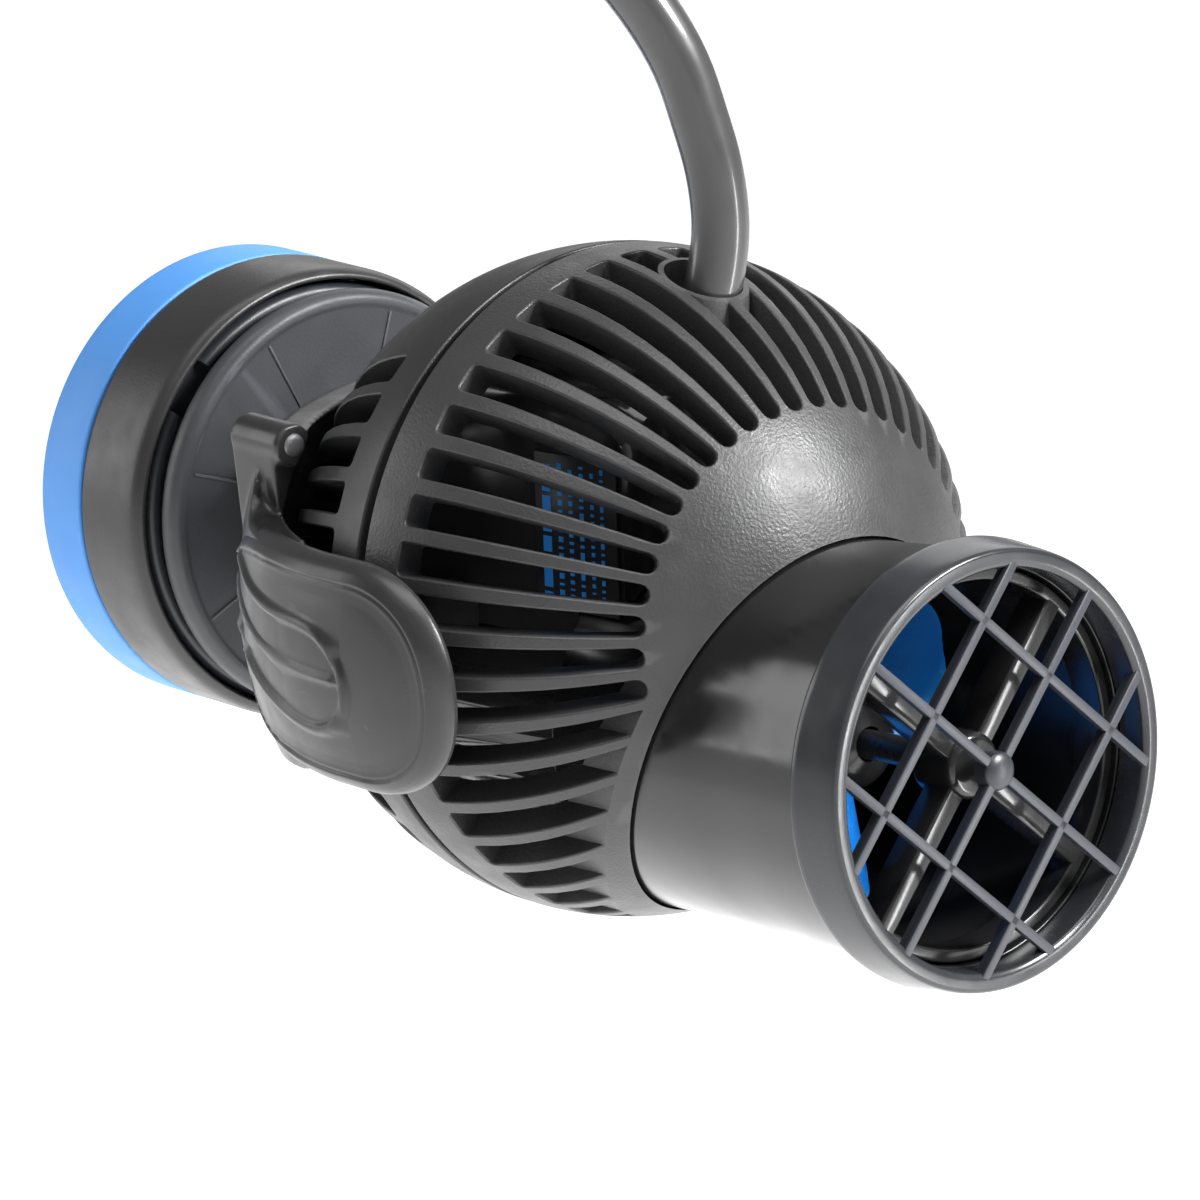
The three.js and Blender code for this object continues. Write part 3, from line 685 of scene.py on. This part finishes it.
def makePaddle(name, side, shorter):
    edge = np.array(paddleEdge(shorter))
    count = len(edge)
    shift = np.array((shorter, 0))
    middle = np.array(grip["middle"]) - shift
    rows = 1 - np.linspace(1, 0, 60)[:-1] ** 1.3
    flat = np.concatenate([[middle]] + [middle + (edge - middle) * t for t in rows[1:]] + [edge])
    inset = awayFrom(flat, edge, True)
    x, z = flat[:, 0], flat[:, 1]
    archLine = [(a - shorter, b) for a, b in smoothLine(grip["arch"])]
    arch = awayFrom(flat, archLine)
    middleLine = awayFrom(flat, smoothLine(grip["middleLine"]) - shift)
    inArch = np.array([1.0 if pointInside(p, archLine) else 0.0 for p in flat])
    radius = np.interp(inset, grip["insets"], grip["heights"])
    radius += grip["ridge"] * np.exp(-(arch / grip["ridgeWide"]) ** 4) * easing(inset, 0.5, 3)
    lowered = inArch * easing(arch, 0.2, 1.2)
    radius += 0.35 * np.exp(-(middleLine / 0.45) ** 2) * lowered * easing(inset, 1.5, 3)
    radius -= grip["hollow"] * easing(-x - shorter, 4, 16) * lowered * easing(middleLine, 0.3, 1.6)
    def lifted(r):
        depth = np.sqrt(np.maximum(r ** 2 - x ** 2 - z ** 2, 1))
        return [(a, side * d, b) for a, d, b in zip(x, depth, z)]
    points = lifted(radius)
    total = len(points)
    under = grip["underEdge"] - (grip["underEdge"] - clamp["inside"] - 0.15) * easing(inset, 0.8, 4.5)
    points += lifted(under)
    faces = []
    rings = (total - 1) // count
    for side2 in (0, 1):
        base = side2 * total
        for i in range(count):
            j = (i + 1) % count
            faces.append((base, base + 1 + i, base + 1 + j))
            for ring in range(rings - 1):
                a, b = base + 1 + ring * count + i, base + 1 + ring * count + j
                faces.append((a, a + count, b + count, b))
    last = 1 + (rings - 1) * count
    for i in range(count):
        j = (i + 1) % count
        faces.append((last + i, last + j, total + last + j, total + last + i))
    return outward(objectFrom(name, meshFrom(name, points, faces)))


def pointInside(point, line):
    x, z = point
    inside = False
    for (x1, z1), (x2, z2) in zip(line, line[1:] + line[:1]):
        if (z1 > z) != (z2 > z) and x < x1 + (z - z1) / (z2 - z1) * (x2 - x1):
            inside = not inside
    return inside


def arcPoints(cx, cz, radius, first, last, steps=10):
    return [(cx + radius * math.cos(math.radians(a)), cz + radius * math.sin(math.radians(a)))
            for a in np.linspace(first, last, steps)]


def yokeOutline():
    base, notch, half, paddle = clamp["base"], clamp["notch"], clamp["half"], clamp["paddle"]
    top = [(base, half)] + arcPoints(notch - 3.2, half - 2.4, 2.4, 90, 20, 8)
    top += arcPoints(notch + 2.8, paddle + 2.2, 2.9, 170, 262, 14) + [(-8, paddle - 0.8), (-2, paddle - 2.5)]
    low = clamp["lowHalf"]
    bottom = [(base, -low), (notch - 3, -low), (notch + 2, -paddle - 0.6)]
    bottom += [(-8, -paddle + 0.8), (-2, -paddle + 2.5)]
    return top + bottom[::-1]


def ballSolid(name, radius, steps=160):
    arc = [(radius * math.cos(a), max(0, radius * math.sin(a))) for a in np.linspace(math.pi, 0, 90)]
    arc[0], arc[-1] = (-radius, 0), (radius, 0)
    return turned(name, arc, steps)


def makeClamp():
    yoke = prism("clampYoke", yokeOutline(), -50, 50)
    cutWith(yoke, ballSolid("outside", clamp["outside"]), "INTERSECT")
    disc = turned("disc", [(clamp["base"], 0), (clamp["base"], clamp["discRadius"], 0.8),
                           (-36, clamp["discRadius"] + 1), (-36, 0)], 96)
    cutWith(yoke, disc, "UNION")
    for y in (-1, 1):
        boss = turned("boss", [(clamp["bossBack"], 0), (clamp["bossBack"], clamp["bossRadius"]),
                               (clamp["bossFront"], clamp["bossRadius"]), (clamp["bossFront"], 0)], 40)
        cutWith(yoke, moved(boss, Matrix.Translation((0, y * clamp["bossY"], clamp["bossZ"]))), "UNION")
        inner, outer = (y * side for side in clamp["webSides"])
        web = bar("web", (clamp["bossBack"], inner, clamp["webLow"]), (clamp["webFront"], outer, clamp["bossZ"] - 0.2))
        cutWith(yoke, outward(web), "UNION")
    cutWith(yoke, ballSolid("inside", clamp["inside"]))
    smoothed(yoke, clamp["fine"], clamp["smoothing"])
    finished(yoke, clampPlace, "satinBlack", "clamp", ["clamp_bracket"], 180)
    for name, side, shorter in (("paddleNear", -1, 0), ("paddleFar", 1, clamp["farShorter"])):
        finished(makePaddle(name, side, shorter), clampPlace, "satinBlack", "clamp", (), 180)
    place = Matrix.Translation
    for n, side in enumerate((-1, 1), 1):
        cap = turned(f"clampCap{n}", [(-18.7, 0), (-18.7, 1.3), (-16.5, 1.3, 0.3), (-16.2, 0.8, 0.3),
                                      (-16.2, 0)], 40)
        finished(moved(cap, place((0, side * clamp["bossY"], clamp["bossZ"]))), clampPlace, "wornSteel", "clamp",
                 [f"clamp_cap_{n}"])
    for n, (y, z) in enumerate(((-9, 8), (9, 8), (-9, -8), (9, -8)), 1):
        pad = turned(f"clampBuffer{n}", [(23.5, 0), (23.5, 3.6, 0.5), (29.2, 3.6, 0.5), (29.2, 0)], 40)
        finished(moved(pad, place((0, y, z))), platePlace, "softRubber", "clamp", [f"clamp_buffer_{n}"])


makeClamp()
print("clamp made")


# rubber pads between the paddles and the ball
def makeGripPads():
    for name, node, side in (("gripPadNear", "grip_pad_near", -1), ("gripPadFar", "grip_pad_far", 1)):
        arc = lambda radius, steps: [(math.sqrt(radius ** 2 - r * r), r) for r in np.linspace(0, 8.8, steps)]
        path = [(35.3, 0)] + arc(35.3, 12)[1:] + [(x, r) for x, r in reversed(arc(36.2, 12))]
        path = path[:-1] + [(36.2, 3), (38.3, 3, 0.3), (38.3, 0)]
        pad = turned(name, path, 72)
        finished(moved(pad, turn(90 * side, "Z")), clampPlace, "softRubber", "grip_pads", [node])


makeGripPads()

# magnetic holder and the turning disc
holder = {"padRadius": 25.7, "padDeep": 7.6, "ring": 23.7, "disc": 23.5, "face": 23.2}


def makeHolder():
    pad = turned("glassPad", [(0, 0), (0, holder["padRadius"], 0.7), (1.2, holder["padRadius"]),
                              (holder["padDeep"], holder["padRadius"] - 0.1, 0.35), (holder["padDeep"], 0)], 160)
    finished(pad, holderPlace, "padBlue", "holder", ["glass_pad"])
    housing = turned("magnetHousing", [
        (7.9, 0), (7.9, 25.3, 0.2), (8.2, 25.55, 0.25), (16.6, 25.45, 0.8), (17.9, 25.3, 0.9), (18.75, 24.75, 0.7),
        (18.8, 24.2, 0.25), (18.45, 24.1), (9.4, 24.1), (9.4, 0)], 160)
    finished(housing, holderPlace, "puckBlack", "holder", ["magnet_housing"])
    ring = turned("lockRing", [(14.5, 18, 0.2), (14.5, 23.7, 0.2), (17.6, 23.7, 0.5), (18.45, 23.2, 0.5),
                               (18.6, 22.4, 0.2), (18.3, 21.9, 0.2), (18.6, 18, 0.2)], 160, True)
    cutWith(ring, moved(bar("notch", (17.2, -3.2, 20.7), (19.5, 3.2, 26)), turn(52, "X")))
    finished(ring, holderPlace, "slateGrey", "holder", ["lock_ring"])
    disc = turned("turnDisc", [
        (14.8, 0), (14.8, 17.6, 0.2), (18.9, 17.6, 0.1), (18.9, 21.4, 0.1), (20.0, 21.5, 0.2), (20.2, 23.1, 0.5),
        (21.0, 23.5, 0.5), (22.3, 23.5, 0.6), (23.1, 22.9, 0.5), (23.2, 22.0, 0.2), (23.0, 21.6, 0.2), (23.0, 12.2, 0.1),
        (23.2, 12.0, 0.1), (23.2, 1.8), (19.8, 1.8), (19.8, 0)], 160)
    finished(disc, platePlace, "plateGrey", "clamp", ["turn_plate"])
    lines = []
    for n in range(8):  # thin raised lines between the disc's rim and its hub
        line = softened(bar("line", (22.7, -0.15, 12.4), (23.17, 0.15, 21.4)), 0.08, 2)
        lines.append(moved(line, turn(22.5 + 45 * n, "X")))
    finished(joined("discLines", lines), platePlace, "plateGrey", "clamp", ())
    finished(turned("holderMagnet", [(9.7, 0), (9.7, 23.6, 0.4), (12.7, 23.6, 0.4), (12.7, 0)], 96), holderPlace,
             "magnetNickel", "holder", ["holder_magnet"])
    finished(turned("backingPlate", [(13, 0), (13, 23.6, 0.2), (14.2, 23.6, 0.2), (14.2, 0)], 96), holderPlace,
             "brightSteel", "holder", ["backing_plate"])
    finished(turned("clampScrew", [(20.2, 0), (20.2, 1.5), (33.9, 1.5), (33.9, 3.2, 0.2), (35.5, 3.2, 0.5), (35.9, 0)],
                    40), platePlace, "brightSteel", "clamp", ["clamp_screw"])


makeHolder()
print("holder made")

# motor: potted block, printed foil, bushes, rotor and buffers
motor = {"print": ((6.2, 1.3, 2.0), (8.6, 0.7, 0.7), (10.3, 0.6, 0.5),
                                                            (12.0, 0.6, 0.8), (13.7, 0.5, 0.5), (15.2, 0.5, 0.7))}


def makeMotor():
    body = turned("motorBlock", [(-25, 0), (-25, 16.5, 0.8), (9, 16.5), (9, 7.6), (-20, 7.6), (-20, 3.3),
                                 (-23, 3.3), (-23, 0)], 96)
    down = Matrix.Translation((0, 0, -sizes["nozzleDrop"]))
    moved(body, down)
    cutWith(body, bar("box", (-22, -16, -3), (18, 16, 22)), "UNION")
    cutWith(body, ballSolid("inside", 29.8, 96), "INTERSECT")
    cutWith(body, nozzleRod("tubeRoom", 10.7, 34, 20.6))
    nose = turned("nose", [(7, 8), (7, 12), (18, 12, 0.6), (18, 7.6, 0.3), (8.9, 7.6), (8.9, 8)], 96, True)
    cutWith(body, moved(nose, down), "UNION")
    softened(body, 0.5, 2, 40)
    finished(body, pumpPlace, "glossBlack", "pump_ball", ["motor_block"], 45)
    foil = softened(bar("ratingFoil", (5, -16.55, 0.3), (17.6, -16.3, 16)), 0.08)
    marks = []
    for x, wide, dash in motor["print"]:  # rows of plain dashes stand for the printing
        up, n = 0.7, 0
        while up < 15.0:
            long = dash * (0.6, 1.0, 0.35, 0.8)[n % 4]
            marks.append(bar("mark", (x, -16.6, up), (x + wide, -16.55, min(up + long, 15.6))))
            up += long + 0.45
            n += 1
    finished(foil, pumpPlace, "foilBlack", "pump_ball", ["rating_label"])
    finished(joined("foilPrint", marks), pumpPlace, "printBlue", "pump_ball", ())
    for name, node, low, high, radius in (("rearBush", "rear_bush", -22.6, -20.2, 3),
                                          ("frontBush", "front_bush", 46.2, 49.5, 2.4)):
        bush = turned(name, [(low, 1.8), (low, radius, 0.2), (high, radius, 0.2), (high, 1.8)], 48, True)
        finished(bush, nozzlePlace, "groundCeramic", "pump_ball", [node])
    finished(turned("rotorMagnet", [(-18.5, 1.8), (-18.5, 6.9, 0.3), (1.5, 6.9, 0.3), (1.5, 1.8)], 64, True),
             rotorPlace, "magnetNickel", "rotor", ["rotor_magnet"])
    # the shaft's near-black colour is painted shade, standing in for the shade behind the grille, not the ceramic's own
    # colour
    finished(turned("rotorShaft", [(-22, 0), (-22, 1.5, 0.2), (49.2, 1.5, 0.2), (49.2, 0)], 40), rotorPlace,
             "ceramicShaftPaintedShade", "rotor", ["rotor_shaft"])
    finished(turned("rearBuffer", [(-29.8, 0), (-29.8, 5, 0.6), (-25.3, 5, 0.6), (-25.3, 0)], 48), pumpPlace,
             "softRubber", "pump_ball", ["motor_buffer_rear"])
    for name, node, side in (("sideBufferNear", "motor_buffer_near", -1), ("sideBufferFar", "motor_buffer_far", 1)):
        piece = turned(name, [(16.3, 0), (16.3, 3.4, 0.5), (28.3, 3.4, 0.5), (28.3, 0)], 40)
        finished(moved(piece, Matrix.Translation((-8, 0, -2)) @ turn(90 * side, "Z")), pumpPlace, "softRubber",
                 "pump_ball", [node])


makeMotor()
print("motor made")


# gland, ties and plug keep their drawn shapes where those are already smooth enough
def makeCableFittings():
    foot = Vector(cord["along"]) * cord["route"][0][0] + Vector(cord["beside"])
    foot += Vector((sizes["ballX"] / sizes["mm"], 0, 0))
    gland = turned("cableGland", [(23.2, 3.3), (23.2, 4.4, 0.3), (25.4, 4.4, 0.5), (25.4, 3.3, 0.3)], 56, True)
    finished(moved(gland, Matrix.Translation(foot) @ turn(-90, "Y")), shrink, "softRubber", "pump_ball",
             ["cable_gland"])
    along = Vector(cord["along"])
    heading = Matrix.Rotation(math.atan2(-along.y, -along.x), 4, "Z")
    end = inCordPlane(cord["coilMiddle"][0] + cord["tailMiddle"][0],
                      cord["coilMiddle"][1] + cord["tailMiddle"][1] - cord["tailRadius"])
    plugPlace = Matrix.Translation(end) @ heading @ shrink
    relief = [turned("reliefCore", [(0.6, 0), (0.6, 3.3, 0.2), (6, 4.2, 0.2), (6, 0)], 48)]
    for n in range(4):
        x = 1.2 + 1.25 * n
        relief.append(turned("rib", [(x, 3), (x, 3.75 + 0.2 * n, 0.2), (x + 0.7, 3.8 + 0.2 * n, 0.2),
                                     (x + 0.7, 3)], 48, True))
    plug = [finished(joined("plugRelief", relief), plugPlace, "softRubber", "pump_ball", ["plug_relief"])]
    body = [turned("plugShell", [(6.3, 0), (6.3, 4.9, 0.3), (7, 5.4, 0.4), (17.2, 5.4, 0.4), (18, 4.8, 0.3),
                                 (18, 0)], 64)]
    for n in range(16):
        rib = softened(bar("rib", (8, -0.3, 5.1), (16, 0.3, 5.6)), 0.12)
        body.append(moved(rib, turn(22.5 * n, "X")))
    plug.append(finished(joined("plugBody", body), plugPlace, "glossBlack", "pump_ball", ["plug_body"]))
    tip = turned("plugTip", [(18.3, 1.3, 0.1), (18.3, 2.75), (26, 2.75, 0.3), (26, 1.3, 0.1)], 48, True)
    plug.append(finished(tip, plugPlace, "brightSteel", "pump_ball", ["plug_tip"]))
    return plug


plugPieces = makeCableFittings()
for node, look in (("cable_tie_1", "satinBlack"), ("cable_tie_2", "satinBlack")):
    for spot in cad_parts[node].material_slots:
        spot.material = finish[look]

# floor and lights
studio = {"floorDrop": -0.35, "floorSize": 30, "sky": 0.27, "floorColour": (0.85, 0.85, 0.85), "floorGlow": 0.8,
          "lights": (("top", (0.25, -0.15, 0.9), 0.9, 0.7, 8), ("front", (0.84, 0.46, 0.62), 0.36, 0.36, 24),
                     ("left", (-0.72, -0.6, 0.22), 0.35, 0.6, 2.0), ("back", (-0.5, 0.7, 0.5), 0.8, 0.6, 1.8),
                     ("side", (0.56, 0.34, -0.09), 0.05, 0.3, 1.1))}


def makeStudio():
    half = studio["floorSize"] / 2
    corners = [(-half, -half), (half, -half), (half, half), (-half, half)]
    floor = objectFrom("floor", meshFrom("floor", [(x, y, studio["floorDrop"]) for x, y in corners], [(0, 1, 2, 3)]))
    paint = bpy.data.materials.new("floorPaint")
    paint.use_nodes = True
    shader = paint.node_tree.nodes["Principled BSDF"]
    shader.inputs["Base Color"].default_value = (*studio["floorColour"], 1)
    shader.inputs["Roughness"].default_value = 0.9
    shader.inputs["Specular IOR Level"].default_value = 0.0
    shader.inputs["Emission Color"].default_value = (1, 1, 1, 1)
    shader.inputs["Emission Strength"].default_value = studio["floorGlow"]
    floor.data.materials.append(paint)
    world = bpy.data.worlds.new("studioSky")
    world.use_nodes = True
    world.node_tree.nodes["Background"].inputs["Color"].default_value = (1, 1, 1, 1)
    world.node_tree.nodes["Background"].inputs["Strength"].default_value = studio["sky"]
    bpy.context.scene.world = world
    target = Vector((0.075, 0, 0))
    for name, place, wide, high, power in studio["lights"]:
        data = bpy.data.lights.new(name, "AREA")
        data.shape = "RECTANGLE"
        data.size, data.size_y, data.energy = wide, high, power
        lamp = bpy.data.objects.new(name, data)
        bpy.context.collection.objects.link(lamp)
        lamp.location = place
        lamp.rotation_euler = (Vector(place) - target).to_track_quat("Z", "Y").to_euler()
    bpy.context.scene.view_settings.view_transform = "Standard"


makeStudio()
print("studio ready")
